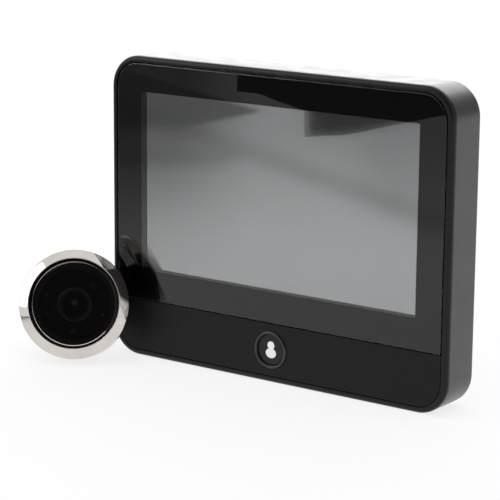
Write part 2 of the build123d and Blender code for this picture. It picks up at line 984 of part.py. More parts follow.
# Camera head
def bezel_ring():
    section = [
        (rim_radius, -rim_thickness),
        (rim_radius, 0),
        (bezel_opening_radius, bezel_height),
        (bezel_opening_radius, bezel_shoulder),
        (bezel_bore, bezel_shoulder),
        (bezel_bore, -rim_thickness),
    ]
    ring = turned(section)
    front = ring.edges().filter_by_position(Axis.Z, bezel_height - bezel_edge, bezel_height + bezel_edge)
    ring = fillet(front, bezel_edge)
    rim = ring.edges().filter_by_position(Axis.Z, -bezel_edge, bezel_edge)
    ring = fillet(rim, bezel_edge)
    return on_head(ring)


def bell_disc():
    window = disc(disc_radius, disc_shoulder, disc_front)
    edge = window.edges().filter_by_position(Axis.Z, disc_front - disc_chamfer, disc_front + disc_chamfer)
    window = chamfer(edge, disc_chamfer)
    return on_head(window + disc(disc_flange_radius, disc_back, disc_shoulder))


def bell_mark():
    """Small generic bell below the lens, printed on the disc: a dome, a skirt and a brim."""
    dome = disc(mark_radius, disc_front, disc_front + mark_thickness, 0, -mark_drop)
    skirt = mark_bar(-mark_drop - mark_radius / 2, 2 * mark_radius, mark_radius)
    brim = mark_bar(-mark_drop - mark_radius, 3 * mark_radius, mark_radius / 3)
    return on_head(dome + skirt + brim)


def mark_bar(y, width, height):
    outline = Plane(origin=(0, y, disc_front)) * Rectangle(width, height)
    return extrude(outline, amount=mark_thickness)


def head_housing():
    """Cup with a stepped back: the spigot centres the bezel and the step centres the rubber washer."""
    spigot_radius = bezel_bore - housing_spigot_gap
    section = [
        (barrel_radius + barrel_fit, rebate_back),
        (rebate_radius, rebate_back),
        (rebate_radius, band_back),
        (housing_radius, band_back),
        (housing_radius, -rim_thickness),
        (spigot_radius, -rim_thickness),
        (spigot_radius, housing_front),
        (housing_bore, housing_front),
        (housing_bore, housing_inside),
        (barrel_radius + barrel_fit, housing_inside),
    ]
    return on_head(turned(section))


def rubber_washer():
    step_radius = rebate_radius + washer_rubber_bore_gap
    section = [
        (barrel_radius + barrel_fit, rubber_back),
        (washer_rubber_radius, rubber_back),
        (washer_rubber_radius, band_back),
        (step_radius, band_back),
        (step_radius, rebate_back),
        (barrel_radius + barrel_fit, rebate_back),
    ]
    return on_head(turned(section))


def mount_barrel():
    """Barrel with a stepped bore: wide for the camera module, narrower for its lead."""
    step = lens_back() - sensor_thickness - sensor_board_thickness - module_gap
    section = [
        (lead_bore, barrel_back),
        (barrel_radius, barrel_back),
        (barrel_radius, housing_inside),
        (barrel_collar_radius, housing_inside),
        (barrel_collar_radius, collar_front),
        (module_bore, collar_front),
        (module_bore, step),
        (lead_bore, step),
    ]
    return on_head(turned(section))


def steel_washer():
    front = rubber_back - stack_gap
    back = front - steel_washer_thickness
    bore = barrel_radius + nut_clearance
    return on_head(disc(steel_washer_radius, back, front) - disc(bore, back - overrun, front + overrun))


def clamp_nut():
    front = rubber_back - 2 * stack_gap - steel_washer_thickness
    back = front - nut_thickness
    nut = disc(nut_radius, back, front)
    nut -= disc(barrel_radius + nut_clearance, back - overrun, front + overrun)
    for step in range(nut_notches):
        angle = 2 * pi * step / nut_notches
        x = nut_radius * cos(angle)
        y = nut_radius * sin(angle)
        nut -= disc(nut_notch_radius, back - overrun, front + overrun, x, y)
    return on_head(nut)


def head_board():
    board = disc(head_board_radius, board_rear, board_top)
    return on_head(board - disc(head_board_hole, board_rear - overrun, board_top + overrun))


def lens_bezel():
    section = [
        (lens_bezel_front_radius - lens_bezel_wall, lens_top),
        (lens_bezel_front_radius, lens_top),
        (lens_bezel_front_radius, lens_top - lens_bezel_wall),
        (lens_bezel_back_radius + lens_bezel_wall, lens_top - lens_bezel_height),
        (lens_bezel_back_radius, lens_top - lens_bezel_height),
        (lens_bezel_back_radius, lens_top - lens_bezel_height + lens_bezel_wall),
    ]
    return on_head(turned(section))


def lens_back():
    return lens_front - lens_length


def lens_barrel():
    barrel = disc(lens_radius, lens_back(), lens_front)
    cup = disc(lens_front_radius, lens_front - lens_front_edge - lens_rim, lens_front + overrun)
    return on_head(barrel - cup)


def lens_glass():
    """Domed front element in the mouth of the lens barrel."""
    base = lens_front - lens_front_edge - lens_rim
    rise = lens_front_height - lens_front_edge
    radius = lens_front_radius - screw_clearance
    sphere_radius = (radius * radius + rise * rise) / (2 * rise)
    body = disc(radius, base, base + lens_front_height)
    ball = Location((0, 0, base + lens_front_height - sphere_radius)) * Sphere(sphere_radius)
    return on_head(body & ball)


def image_sensor():
    low = lens_back() - sensor_thickness
    chip = extrude(Plane(origin=(0, 0, low)) * Rectangle(sensor_side, sensor_side), amount=sensor_thickness)
    return on_head(chip)


def sensor_board():
    low = lens_back() - sensor_thickness - sensor_board_thickness
    outline = Plane(origin=(0, 0, low)) * Rectangle(sensor_board_side, sensor_board_side)
    return on_head(extrude(outline, amount=sensor_board_thickness))


def light_sensor():
    top = board_top + light_sensor_height
    return on_head(disc(light_sensor_radius, board_top, top, light_sensor_x, light_sensor_y))


def infrared_leds():
    pieces = []
    for middle in (0, 180):
        for side in (-1, 1):
            angle = radians(middle + side * led_half_angle)
            x = led_ring_radius * cos(angle)
            y = led_ring_radius * sin(angle)
            pieces.append(on_head(disc(led_radius, board_top, board_top + led_height, x, y)))
    return Compound(children=pieces)


def bell_switch():
    top = disc_back - disc_travel - bell_button_gap
    base = disc(bell_switch_radius, board_top, board_top + bell_switch_height, 0, -bell_switch_drop)
    return on_head(base + disc(bell_button_radius, board_top, top, 0, -bell_switch_drop))


builders = [
    front_frame,
    rear_shell,
    case_screws,
    cover_glass,
    glass_ink,
    glass_tape,
    lower_panel,
    screen_gasket,
    screen,
    lcd_panel,
    light_guide,
    backlight,
    display_flex,
    display_connector,
    button_ring,
    view_button,
    button_icon,
    switch_plunger,
    button_switch,
    main_board,
    board_screws,
    shield_can,
    processor,
    usb_socket,
    memory_card,
    card_socket,
    power_switch,
    switch_knob,
    lead_socket,
    speaker,
    speaker_cone,
    speaker_gasket,
    microphone,
    battery,
    battery_pad,
    wifi_antenna,
    door_plate,
    bezel_ring,
    bell_disc,
    bell_mark,
    head_housing,
    rubber_washer,
    mount_barrel,
    steel_washer,
    clamp_nut,
    head_board,
    lens_bezel,
    lens_barrel,
    lens_glass,
    image_sensor,
    sensor_board,
    light_sensor,
    infrared_leds,
    bell_switch,
]

os.makedirs("parts", exist_ok=True)
for builder in builders:
    export_step(builder(), f"parts/{builder.__name__}.step")

print(f"head tilt {head_tilt:.2f} degrees, head centre height {head_z:.3f} mm")
print(f"head axis {head_axis}")
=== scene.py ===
import json
from math import cos, pi, radians, sin

import bmesh
import bpy
from mathutils import Matrix, Vector


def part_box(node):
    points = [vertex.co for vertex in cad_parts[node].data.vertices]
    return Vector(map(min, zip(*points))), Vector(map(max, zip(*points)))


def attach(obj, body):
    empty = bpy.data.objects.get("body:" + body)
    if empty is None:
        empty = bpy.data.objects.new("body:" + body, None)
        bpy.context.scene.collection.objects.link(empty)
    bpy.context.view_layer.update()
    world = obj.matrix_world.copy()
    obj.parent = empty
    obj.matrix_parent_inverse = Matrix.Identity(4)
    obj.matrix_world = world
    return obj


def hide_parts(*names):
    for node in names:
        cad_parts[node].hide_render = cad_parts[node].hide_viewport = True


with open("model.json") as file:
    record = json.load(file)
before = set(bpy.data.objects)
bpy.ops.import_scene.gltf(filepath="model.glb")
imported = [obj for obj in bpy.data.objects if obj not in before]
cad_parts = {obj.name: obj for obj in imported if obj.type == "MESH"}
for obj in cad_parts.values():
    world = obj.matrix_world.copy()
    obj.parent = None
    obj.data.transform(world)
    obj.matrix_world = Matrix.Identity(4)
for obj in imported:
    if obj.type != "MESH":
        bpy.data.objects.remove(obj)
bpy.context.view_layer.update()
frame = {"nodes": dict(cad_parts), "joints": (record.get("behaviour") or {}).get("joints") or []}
nodes = frame["nodes"]
MM = 0.001

# Camera of the photograph, in metres and degrees
CAMERA_PLACE = Vector((0.3261, -0.469945, 0.16585))
CAMERA_AZIMUTH = 35.81
CAMERA_ELEVATION = 12.63
CAMERA_ROLL = 0.47
CAMERA_LENS_MM = 147.09
SENSOR_WIDTH_MM = 36.0

# Smallest distances that count when a mesh is cleaned, in metres
MERGE_DISTANCE = 1e-7
SLIVER_LENGTH = 1e-8

# The head's own frame: its axis points forwards, and stations along it count from the chrome rim
HEAD_JOINT = next(joint for joint in frame["joints"] if joint["name"] == "nut_spin")
HEAD_AXIS = -Vector(HEAD_JOINT["axis"]).normalized()
HEAD_RIGHT = Vector((-HEAD_AXIS.y, HEAD_AXIS.x, 0)).normalized()
HEAD_UP = HEAD_AXIS.cross(HEAD_RIGHT)
RUBBER_BACK = -6.0
HEAD_RIM = Vector(HEAD_JOINT["pos_m"]) - RUBBER_BACK * MM * HEAD_AXIS
TURN_STEPS = 144
FINE_TURN_STEPS = 288
LENS_APEX = -0.5
PUPIL_RISE = 0.55
PUPIL_EDGE = (0.27, 1.44)


# Helpers for node materials
NOISE_ROUGHNESS = 0.55
USUAL_RANGE = (0.3, 0.7)


def grey(level):
    return (level, level, level, 1)


def set_inputs(node, values):
    for socket, value in values.items():
        node.inputs[socket].default_value = value


def new_material(name, values):
    """Material, node tree and shader, with values for the shader's sockets."""
    material = bpy.data.materials.new(name)
    material.use_nodes = True
    tree = material.node_tree
    shader = tree.nodes["Principled BSDF"]
    set_inputs(shader, values)
    return material, tree, shader


def add(tree, kind, values=None, **settings):
    """Adds a node with settings for its properties and values for its sockets."""
    node = tree.nodes.new(kind)
    for key, value in settings.items():
        setattr(node, key, value)
    set_inputs(node, values or {})
    return node


def link(tree, source, output, target, socket):
    tree.links.new(source.outputs[output], target.inputs[socket])


def coordinates(tree, stretch=(1, 1, 1)):
    """Object coordinates in millimetres, optionally stretched."""
    source = add(tree, "ShaderNodeTexCoord")
    mapping = add(tree, "ShaderNodeMapping", {"Scale": [value / MM for value in stretch]})
    link(tree, source, "Object", mapping, "Vector")
    return mapping


def noise(tree, place, period_mm, detail=4.0):
    values = {"Detail": detail, "Roughness": NOISE_ROUGHNESS, "Scale": 1.0 / period_mm}
    texture = add(tree, "ShaderNodeTexNoise", values)
    link(tree, place, "Vector", texture, "Vector")
    return texture


def map_range(tree, source, output, from_low, from_high, low=0.0, high=1.0, kind="SMOOTHSTEP"):
    """Maps a range of a node's output onto another range."""
    values = {"From Min": from_low, "From Max": from_high, "To Min": low, "To Max": high}
    node = add(tree, "ShaderNodeMapRange", values, interpolation_type=kind)
    link(tree, source, output, node, "Value")
    return node


def sheen(tree, shader, texture, low, high, output="Fac", texture_range=USUAL_RANGE):
    """Roughness that follows a texture between two values."""
    node = map_range(tree, texture, output, *texture_range, low, high, kind="LINEAR")
    link(tree, node, "Result", shader, "Roughness")


def tint(tree, shader, texture, dark, light, output="Fac", texture_range=USUAL_RANGE):
    """Base colour that follows a texture between two colours."""
    ramp = add(tree, "ShaderNodeValToRGB")
    for element, position, colour in zip(ramp.color_ramp.elements, texture_range, (dark, light)):
        element.position = position
        element.color = (*colour, 1)
    link(tree, texture, output, ramp, "Fac")
    link(tree, ramp, "Color", shader, "Base Color")


def scaled(colour, factor):
    return tuple(value * factor for value in colour)


def bump(tree, shader, height, strength, distance_mm, output="Fac", previous=None):
    node = add(tree, "ShaderNodeBump", {"Strength": strength, "Distance": distance_mm * MM})
    link(tree, height, output, node, "Height")
    if previous:
        link(tree, previous, "Normal", node, "Normal")
    link(tree, node, "Normal", shader, "Normal")
    return node


# Materials, with colours as linear shares of red, green and blue
def moulded_plastic(name, colour, rough, grain_mm=0.12, grain=0.25, level=0.5):
    """Moulded plastic: fine spark-eroded grain, slow change of sheen and slightly uneven colour."""
    material, tree, shader = new_material(name, {"Specular IOR Level": level})
    place = coordinates(tree)
    cloud = noise(tree, place, period_mm=22.0, detail=3.0)
    tint(tree, shader, cloud, dark=scaled(colour, 0.88), light=scaled(colour, 1.12))
    smudge = noise(tree, place, period_mm=6.0, detail=5.0)
    sheen(tree, shader, smudge, low=rough - 0.04, high=rough + 0.04)
    fine = noise(tree, place, period_mm=grain_mm, detail=2.0)
    bump(tree, shader, fine, strength=grain, distance_mm=0.01)
    return material


def gloss_plastic(name, colour, rough=0.06):
    """Polished plastic: faint wipe marks in the gloss and a slight waviness of the surface."""
    material, tree, shader = new_material(name, {"Coat Weight": 0.6, "Coat Roughness": 0.03})
    place = coordinates(tree)
    cloud = noise(tree, place, period_mm=9.0)
    tint(tree, shader, cloud, dark=colour, light=scaled(colour, 1.3))
    wipe = noise(tree, coordinates(tree, (1.0, 3.0, 0.4)), period_mm=3.0, detail=6.0)
    sheen(tree, shader, wipe, low=rough * 0.6, high=rough * 1.6)
    waves = noise(tree, place, period_mm=12.0, detail=1.0)
    bump(tree, shader, waves, strength=0.05, distance_mm=0.02)
    return material


def metal(name, colour, rough, stretch=(1, 1, 1)):
    """Bare metal: slow changes of roughness over fine tool marks."""
    material, tree, shader = new_material(name, {"Metallic": 1.0})
    place = coordinates(tree)
    cloud = noise(tree, place, period_mm=12.0)
    tint(tree, shader, cloud, dark=scaled(colour, 0.86), light=colour)
    patch = noise(tree, place, period_mm=4.0, detail=6.0)
    sheen(tree, shader, patch, low=rough * 0.7, high=rough * 1.4)
    marks = noise(tree, coordinates(tree, stretch), period_mm=0.2, detail=3.0)
    bump(tree, shader, marks, strength=0.1, distance_mm=0.01)
    return material


def clear_glass():
    """Clear cover glass with faint wipe marks."""
    values = {"Base Color": (0.96, 0.97, 0.97, 1), "Transmission Weight": 1.0, "IOR": 1.5}
    material, tree, shader = new_material("cover_glass", values)
    wipe = noise(tree, coordinates(tree, (0.5, 1.0, 2.0)), period_mm=14.0, detail=6.0)
    sheen(tree, shader, wipe, low=0.0, high=0.012, texture_range=(0.45, 0.75))
    return material


def printed_ink():
    """Black print behind the glass, very slightly mottled."""
    material, tree, shader = new_material("glass_ink", {"Specular IOR Level": 0.0})
    mottle = noise(tree, coordinates(tree), period_mm=0.8)
    tint(tree, shader, mottle, dark=(0.0016, 0.0016, 0.0018), light=(0.0026, 0.0026, 0.0028))
    sheen(tree, shader, mottle, low=0.5, high=0.65)
    return material


def display_film(name, colour, rough):
    """Switched-off display: a dark reflecting film with the fine mesh of its picture cells."""
    material, tree, shader = new_material(name, {"Metallic": 1.0})
    place = coordinates(tree)
    cloud = noise(tree, place, period_mm=40.0, detail=1.0)
    tint(tree, shader, cloud, dark=scaled(colour, 0.95), light=colour)
    grain = noise(tree, place, period_mm=1.5, detail=5.0)
    sheen(tree, shader, grain, low=rough * 0.8, high=rough * 1.2)
    cells = add(tree, "ShaderNodeTexWave", {"Scale": 2.0}, wave_type="BANDS", bands_direction="X")
    link(tree, place, "Vector", cells, "Vector")
    bump(tree, shader, cells, strength=0.02, distance_mm=0.002)
    return material


def chrome():
    """Warm chrome plating with faint brush strokes and a few hairline wipe marks."""
    material, tree, shader = new_material("chrome", {"Metallic": 1.0})
    place = coordinates(tree)
    cloud = noise(tree, place, period_mm=6.0, detail=3.0)
    tint(tree, shader, cloud, dark=(0.59, 0.55, 0.52), light=(0.65, 0.61, 0.58))
    wipe = noise(tree, coordinates(tree, (2.0, 1.0, 0.5)), period_mm=1.2, detail=8.0)
    sheen(tree, shader, wipe, low=0.02, high=0.07, texture_range=(0.35, 0.8))
    strokes = noise(tree, coordinates(tree, (4.0, 4.0, 0.4)), period_mm=1.0, detail=3.0)
    brushed = bump(tree, shader, strokes, strength=0.06, distance_mm=0.01)
    waves = noise(tree, place, period_mm=2.0, detail=2.0)
    bump(tree, shader, waves, strength=0.05, distance_mm=0.02, previous=brushed)
    return material


def smoked_window():
    """Dark see-through plastic of the bell push."""
    values = {"Base Color": (0.30, 0.28, 0.30, 1), "Transmission Weight": 1.0, "IOR": 1.49}
    material, tree, shader = new_material("smoked_window", values)
    wipe = noise(tree, coordinates(tree), period_mm=3.0, detail=6.0)
    sheen(tree, shader, wipe, low=0.0, high=0.015, texture_range=(0.45, 0.8))
    return material


def coated_lens():
    """Coated lens glass, dark with a reddish middle."""
    material, tree, shader = new_material("lens_glass", {"Coat Weight": 1.0, "Coat Roughness": 0.02})
    source = add(tree, "ShaderNodeTexCoord")
    pupil = HEAD_RIM + (LENS_APEX * HEAD_AXIS + PUPIL_RISE * HEAD_UP) * MM
    distance = add(tree, "ShaderNodeVectorMath", {1: pupil}, operation="DISTANCE")
    link(tree, source, "Object", distance, 0)
    outwards = map_range(tree, distance, "Value", PUPIL_EDGE[0] * MM, PUPIL_EDGE[1] * MM)
    reddish = (0.55, 0.33, 0.34)
    glass = (0.016, 0.012, 0.016)
    tint(tree, shader, outwards, reddish, glass, output="Result", texture_range=(0.0, 1.0))
    cast = noise(tree, coordinates(tree), period_mm=1.2, detail=2.0)
    sheen(tree, shader, cast, low=0.02, high=0.08)
    return material


def rubber():
    """Matt rubber with a dusty, uneven surface."""
    material, tree, shader = new_material("rubber", {"Specular IOR Level": 0.3})
    place = coordinates(tree)
    dust = noise(tree, place, period_mm=1.6, detail=6.0)
    tint(tree, shader, dust, dark=(0.018, 0.018, 0.019), light=(0.035, 0.035, 0.036))
    sheen(tree, shader, dust, low=0.6, high=0.8)
    pores = noise(tree, place, period_mm=0.25, detail=3.0)
    bump(tree, shader, pores, strength=0.5, distance_mm=0.02)
    return material


def circuit_board():
    """Green solder mask over copper tracks."""
    material, tree, shader = new_material("circuit_board", {})
    place = coordinates(tree)
    values = {
        "Scale": 0.35,
        "Mortar Size": 0.06,
        "Color1": (0.006, 0.07, 0.03, 1),
        "Color2": (0.008, 0.09, 0.04, 1),
        "Mortar": (0.02, 0.16, 0.07, 1),
    }
    tracks = add(tree, "ShaderNodeTexBrick", values)
    upright = add(tree, "ShaderNodeMapping", {"Rotation": (radians(90), 0, 0)})
    link(tree, place, "Vector", upright, "Vector")
    link(tree, upright, "Vector", tracks, "Vector")
    link(tree, tracks, "Color", shader, "Base Color")
    sheen(tree, shader, noise(tree, place, period_mm=2.0), low=0.25, high=0.45)
    bump(tree, shader, tracks, strength=0.3, distance_mm=0.03)
    return material


def foil():
    """Wrinkled silver pouch of the battery, darker in the hollows of its creases: painted shade."""
    material, tree, shader = new_material("battery_foil", {"Metallic": 1.0})
    crease = noise(tree, coordinates(tree), period_mm=5.0, detail=6.0)
    # The colour darkens where the bump makes hollows: painted shade in the creases
    tint(tree, shader, crease, dark=(0.5, 0.5, 0.52), light=(0.68, 0.68, 0.7))
    sheen(tree, shader, crease, low=0.2, high=0.4)
    bump(tree, shader, crease, strength=0.4, distance_mm=0.15)
    return material


def foam():
    """Open foam tape, darker in the hollow of each pore: painted shade."""
    material, tree, shader = new_material("foam", {"Specular IOR Level": 0.1})
    cells = add(tree, "ShaderNodeTexVoronoi", {"Scale": 5.0})
    link(tree, coordinates(tree), "Vector", cells, "Vector")
    depth = {"output": "Distance", "texture_range": (0.0, 0.6)}
    # The colour darkens towards each pore's middle, where the bump makes a hollow: painted shade in the
    # pores
    tint(tree, shader, cells, dark=(0.004, 0.004, 0.004), light=(0.012, 0.012, 0.012), **depth)
    sheen(tree, shader, cells, low=0.85, high=0.95, **depth)
    bump(tree, shader, cells, strength=0.6, distance_mm=0.05, output="Distance")
    return material


def thin_print(name, dark, light, rough, level=0.5):
    """Print of a sign, thin at places."""
    material, tree, shader = new_material(name, {"Specular IOR Level": level})
    ink = noise(tree, coordinates(tree), period_mm=0.3, detail=3.0)
    tint(tree, shader, ink, dark, light)
    sheen(tree, shader, ink, *rough)
    return material


frame_plastic = moulded_plastic("frame_plastic", (0.0075, 0.0075, 0.008), rough=0.28, grain=0.18, level=0.2)
shell_plastic = moulded_plastic("shell_plastic", (0.030, 0.030, 0.031), rough=0.32, grain_mm=0.16, grain=0.3)
strip_plastic = moulded_plastic("strip_plastic", (0.005, 0.005, 0.0053), rough=0.36, level=0.16)
button_plastic = moulded_plastic("button_plastic", (0.0075, 0.0075, 0.008), rough=0.3, level=0.25)
bead_plastic = moulded_plastic("bead_plastic", (0.009, 0.009, 0.0095), rough=0.16, grain=0.1)
dark_plastic = moulded_plastic("dark_plastic", (0.012, 0.012, 0.012), rough=0.45)
ivory_plastic = moulded_plastic("ivory_plastic", (0.62, 0.58, 0.48), rough=0.4)
white_plastic = moulded_plastic("white_plastic", (0.72, 0.72, 0.70), rough=0.4)
film_plastic = moulded_plastic("film_plastic", (0.32, 0.14, 0.02), rough=0.25, grain_mm=0.5)
matt_black = moulded_plastic("matt_black", (0.008, 0.008, 0.0085), rough=0.6, level=0.2)
surround_grey = moulded_plastic("surround_grey", (0.25, 0.25, 0.26), rough=0.45, level=0.4)
gloss_black = gloss_plastic("gloss_black", (0.008, 0.008, 0.009))
led_epoxy = gloss_plastic("led_epoxy", (0.02, 0.012, 0.02))
sensor_epoxy = gloss_plastic("sensor_epoxy", (0.05, 0.06, 0.14), rough=0.08)
steel = metal("steel", (0.55, 0.55, 0.56), rough=0.28, stretch=(1, 1, 12))
black_steel = metal("black_steel", (0.06, 0.06, 0.06), rough=0.35)
nickel = metal("nickel", (0.62, 0.60, 0.57), rough=0.2)
black_anodised = metal("black_anodised", (0.035, 0.035, 0.037), rough=0.3)
screen_film = display_film("screen_film", (0.29, 0.29, 0.295), rough=0.05)
panel_film = display_film("panel_film", (0.08, 0.08, 0.08), rough=0.08)
ink_black = printed_ink()
cover = clear_glass()
chrome_plate = chrome()
smoked = smoked_window()
lens_coat = coated_lens()
washer_rubber = rubber()
board_green = circuit_board()
battery_foil = foil()
tape_foam = foam()
sign_print = thin_print("sign_white", (0.86, 0.86, 0.86), (0.92, 0.92, 0.92), rough=(0.35, 0.5))
bell_print = thin_print(
    "dim_print", (0.0015, 0.0014, 0.0014), (0.0028, 0.0026, 0.0026), rough=(0.4, 0.6), level=0.12
)

MATERIALS = {
    "front_frame": frame_plastic,
    "rear_shell": shell_plastic,
    "case_screws": black_steel,
    "cover_glass": cover,
    "glass_ink": ink_black,
    "glass_tape": tape_foam,
    "lower_panel": strip_plastic,
    "screen_gasket": tape_foam,
    "screen": screen_film,
    "lcd_panel": panel_film,
    "light_guide": white_plastic,
    "backlight": steel,
    "display_flex": film_plastic,
    "display_connector": ivory_plastic,
    "button_ring": button_plastic,
    "view_button": button_plastic,
    "button_icon": sign_print,
    "switch_plunger": white_plastic,
    "button_switch": dark_plastic,
    "main_board": board_green,
    "board_screws": steel,
    "shield_can": steel,
    "processor": dark_plastic,
    "usb_socket": steel,
    "memory_card": dark_plastic,
    "card_socket": steel,
    "power_switch": steel,
    "switch_knob": dark_plastic,
    "lead_socket": ivory_plastic,
    "speaker": dark_plastic,
    "speaker_cone": dark_plastic,
    "speaker_gasket": tape_foam,
    "microphone": steel,
    "battery": battery_foil,
    "battery_pad": tape_foam,
    "wifi_antenna": film_plastic,
    "door_plate": steel,
    "bezel_ring": chrome_plate,
    "bell_disc": smoked,
    "bell_mark": bell_print,
    "head_housing": gloss_black,
    "rubber_washer": washer_rubber,
    "mount_barrel": black_anodised,
    "steel_washer": steel,
    "clamp_nut": nickel,
    "head_board": dark_plastic,
    "lens_bezel": gloss_black,
    "lens_barrel": gloss_black,
    "lens_glass": lens_coat,
    "image_sensor": dark_plastic,
    "sensor_board": board_green,
    "light_sensor": sensor_epoxy,
    "infrared_leds": led_epoxy,
    "bell_switch": dark_plastic,
}


def dress(node, material):
    """Gives a node of the frame its material."""
    mesh = nodes[node].data
    mesh.materials.clear()
    mesh.materials.append(material)


for node, material in MATERIALS.items():
    dress(node, material)


# Helpers for pieces
def new_object(name, data):
    obj = bpy.data.objects.new(name, data)
    bpy.context.scene.collection.objects.link(obj)
    return obj


def piece_from(name, build, materials, body, replaced=(), choose=None, sharp=35):
    """Makes a mesh piece, gives each face a material, and lets it ride on a body."""
    mesh = bpy.data.meshes.new(name)
    bm = bmesh.new()
    build(bm)
    bmesh.ops.remove_doubles(bm, verts=bm.verts, dist=MERGE_DISTANCE)
    bmesh.ops.dissolve_degenerate(bm, edges=bm.edges, dist=SLIVER_LENGTH)
    bmesh.ops.recalc_face_normals(bm, faces=bm.faces)
    if choose:
        for face in bm.faces:
            face.material_index = choose(face.calc_center_median())
    bm.to_mesh(mesh)
    bm.free()
    for material in materials:
        mesh.materials.append(material)
    mesh.shade_smooth()
    mesh.set_sharp_from_angle(angle=radians(sharp))
    obj = new_object(name, mesh)
    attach(obj, body)
    if replaced:
        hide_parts(*replaced)


def softened(points, steps=4):
    """Rounds each corner of a closed outline by the third value of its point."""
    result = []
    for index, (first, second, radius) in enumerate(points):
        here = Vector((first, second))
        if not radius:
            result.append((first, second))
            continue
        before = Vector(points[index - 1][:2])
        after = Vector(points[(index + 1) % len(points)][:2])
        start = here + (before - here).normalized() * radius
        end = here + (after - here).normalized() * radius
        for step in range(steps + 1):
            share = step / steps
            point = start.lerp(here, share).lerp(here.lerp(end, share), share)
            result.append(tuple(point))
    return result


def head_point(x, y, station):
    """Place in the head's own frame, given in millimetres."""
    return HEAD_RIM + (x * HEAD_RIGHT + y * HEAD_UP + station * HEAD_AXIS) * MM


def radius_on_head(place):
    """Distance from the head's axis, in millimetres."""
    offset = place - HEAD_RIM
    return (offset - offset.dot(HEAD_AXIS) * HEAD_AXIS).length / MM


def join_rings(bm, rings):
    """Closes a set of equal rings into a skin, round the rings and round their order."""
    count = len(rings[0])
    for step, ring in enumerate(rings):
        following = rings[(step + 1) % len(rings)]
        for index in range(count):
            after = (index + 1) % count
            bm.faces.new((ring[index], following[index], following[after], ring[after]))


def turned(bm, profile, x=0.0, y=0.0, steps=TURN_STEPS):
    """Turns a closed profile of (radius, station) points about a line parallel to the head's axis."""
    rings = []
    for step in range(steps):
        angle = 2 * pi * step / steps
        ring = []
        for radius, station in profile:
            place = head_point(x + radius * cos(angle), y + radius * sin(angle), station)
            ring.append(bm.verts.new(place))
        rings.append(ring)
    join_rings(bm, rings)


def front_outline(low_x, high_x, low_z, high_z, radii, steps=12):
    """Rounded rectangle seen from the front, with a radius for each corner from the lower left on."""
    corners = [
        (low_x, low_z, radii[0], 180),
        (high_x, low_z, radii[1], 270),
        (high_x, high_z, radii[2], 0),
        (low_x, high_z, radii[3], 90),
    ]
    points = []
    for x, z, radius, start in corners:
        centre_x = x + radius * (1 if x == low_x else -1)
        centre_z = z + radius * (1 if z == low_z else -1)
        for step in range(steps + 1):
            angle = radians(start + 90 * step / steps)
            points.append((centre_x + radius * cos(angle), centre_z + radius * sin(angle)))
    return points


def layers(bm, outlines):
    """Stacks outlines of equal length, each given with its depth, and closes both ends."""
    rings = []
    for points, y in outlines:
        rings.append([bm.verts.new((x, y, z)) for x, z in points])
    for ring, following in zip(rings, rings[1:]):
        for index in range(len(ring)):
            after = (index + 1) % len(ring)
            bm.faces.new((ring[index], following[index], following[after], ring[after]))
    bm.faces.new(rings[0])
    bm.faces.new(rings[-1])


# Cover glass
GLASS_CORNER = 7.42
GLASS_EDGE = 0.18
GLASS_EDGE_TURN = 0.3
GLASS_OVER_INK = 0.02
GLASS_INSET = 0.12
INK_CORNER = 7.27
INK_WINDOW = (-47.65, 47.65, 26.66, 80.05)
WINDOW_CORNER = 0.4
PICTURE_FORWARD = 0.8
SHARP_CORNER = 0.3


def glass_plate(bm):
    """Glass with a pencil edge; its back takes the printed border in."""
    low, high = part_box("cover_glass")
    low = low + Vector((GLASS_INSET, 0, GLASS_INSET)) * MM
    high = high - Vector((GLASS_INSET, 0, GLASS_INSET)) * MM
    radii = (SHARP_CORNER * MM, SHARP_CORNER * MM, GLASS_CORNER * MM, GLASS_CORNER * MM)
    edge = GLASS_EDGE * MM
    back = high.y + GLASS_OVER_INK * MM
    outlines = []
    turn = edge * GLASS_EDGE_TURN
    steps = [(2 * edge, low.y), (edge, low.y), (turn, low.y + turn), (0, low.y + edge)]
    steps += [(0, back), (edge, back)]
    for inset, y in steps:
        smaller = [max(radius - inset, inset) for radius in radii]
        sides = (low.x + inset, high.x - inset, low.z + inset, high.z - inset)
        outlines.append((front_outline(*sides, smaller), y))
    layers(bm, outlines)


piece_from("glass_plate", glass_plate, [cover], "monitor", ["cover_glass"])


def ink_border(bm):
    """Printed border: a thin layer with the display's window in it."""
    low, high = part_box("glass_ink")
    corners = [SHARP_CORNER * MM, SHARP_CORNER * MM, INK_CORNER * MM, INK_CORNER * MM]
    outside = front_outline(low.x, high.x, low.z, high.z, corners)
    inside = front_outline(*[value * MM for value in INK_WINDOW], [WINDOW_CORNER * MM] * 4)
    rings = []
    for points, y in ((outside, low.y), (outside, high.y), (inside, high.y), (inside, low.y)):
        rings.append([bm.verts.new((x, y, z)) for x, z in points])
    join_rings(bm, rings)


def display_picture(bm):
    """Picture area of the display with its front glass, which stands into the gasket's opening."""
    low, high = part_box("screen")
    outline = front_outline(low.x, high.x, low.z, high.z, [SHARP_CORNER * MM] * 4)
    layers(bm, [(outline, low.y - PICTURE_FORWARD * MM), (outline, high.y)])


piece_from("ink_border", ink_border, [ink_black], "monitor", ["glass_ink"])
piece_from("display_picture", display_picture, [screen_film], "monitor", ["screen"])

# Bead round the view button
BEAD_RADIUS = 5.5
BEAD_WALL = 0.85
BEAD_HEIGHT = 0.3
BEAD_STEPS = 8


